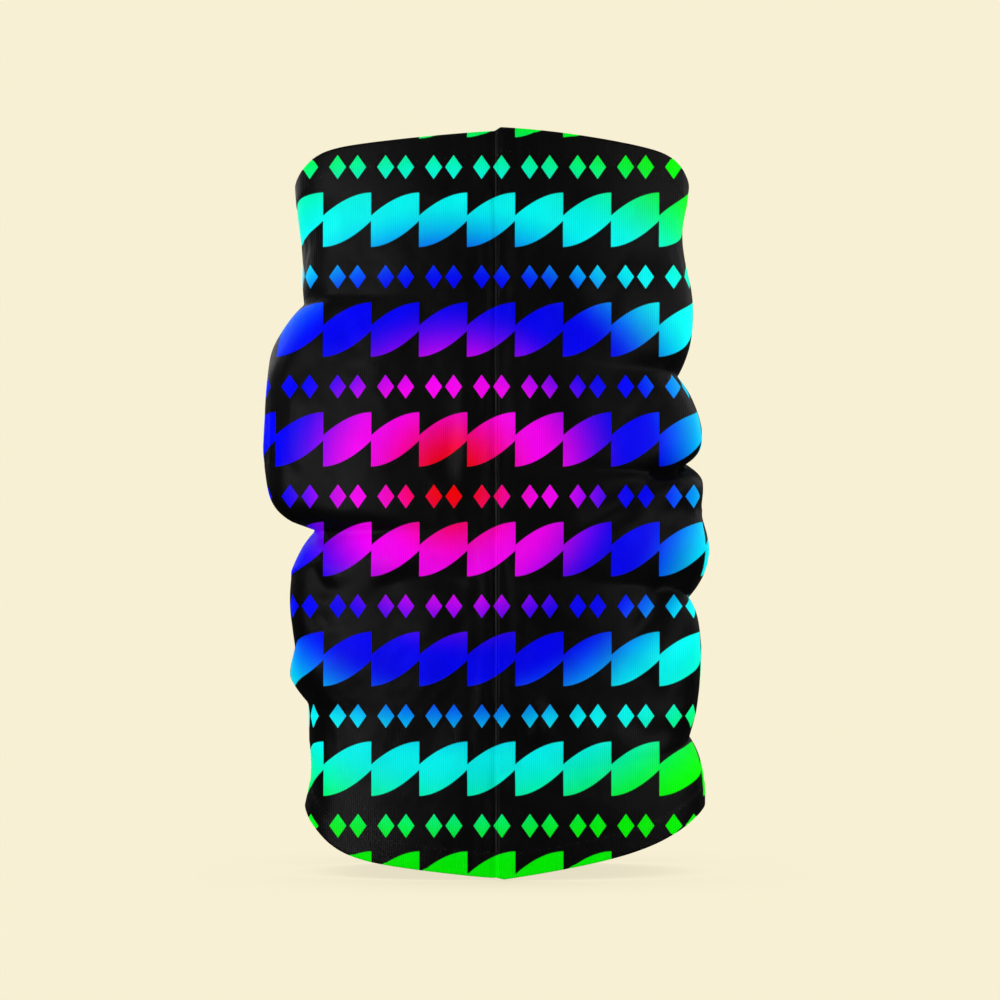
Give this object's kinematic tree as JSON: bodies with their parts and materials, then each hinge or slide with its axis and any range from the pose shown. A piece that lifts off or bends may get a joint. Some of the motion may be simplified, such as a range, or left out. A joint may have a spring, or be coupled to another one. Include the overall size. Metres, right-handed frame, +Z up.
{
  "type": "neck gaiter",
  "caption": "Tube of printed stretch knit worn round the neck and face, with turned hems, one upright overlock seam and a blank label.",
  "frame": {"origin": "middle of the bottom of the whole gaiter's box, level with the flats it stands on", "axes": "+Z up the tube towards the edge worn over the face, -Y towards the wearer's front where the seam runs, +X to the right of a viewer who faces that front"},
  "size_m": [0.2596, 0.1174, 0.4299],
  "materials": {
    "printed_knit": "fine stretch jersey, black outside with a printed repeat of petals and lozenges in a rainbow that spreads from the middle, off-white inside",
    "sewing_thread": "twisted black polyester thread",
    "label_satin": "blank white satin ribbon with a soft sheen"
  },
  "bodies": {
    "tube": {"tube_panel": "printed_knit", "bottom_hem": "printed_knit", "seam_needle_thread_1": "sewing_thread", "seam_needle_thread_2": "sewing_thread", "seam_upper_looper_thread": "sewing_thread", "seam_lower_looper_thread": "sewing_thread", "bottom_hem_needle_thread": "sewing_thread", "bottom_hem_looper_thread": "sewing_thread"},
    "upper_edge": {"top_hem": "printed_knit", "top_hem_needle_thread": "sewing_thread", "top_hem_looper_thread": "sewing_thread"},
    "label": {"care_label": "label_satin"}
  },
  "joints": [
    {"name": "upper_edge_pull_down", "type": "slide", "parent": "tube", "child": "upper_edge", "axis": [0, 0, -1], "range_m": [0, 0.12], "deforming": ["tube_panel", "seam_needle_thread_1", "seam_needle_thread_2", "seam_upper_looper_thread", "seam_lower_looper_thread"]},
    {"name": "label_flap", "type": "hinge", "parent": "tube", "child": "label", "pos_m": [0.00585, -0.0484, 0.028], "axis": [0, 0, 1], "range_deg": [-10, 150]}
  ]
}
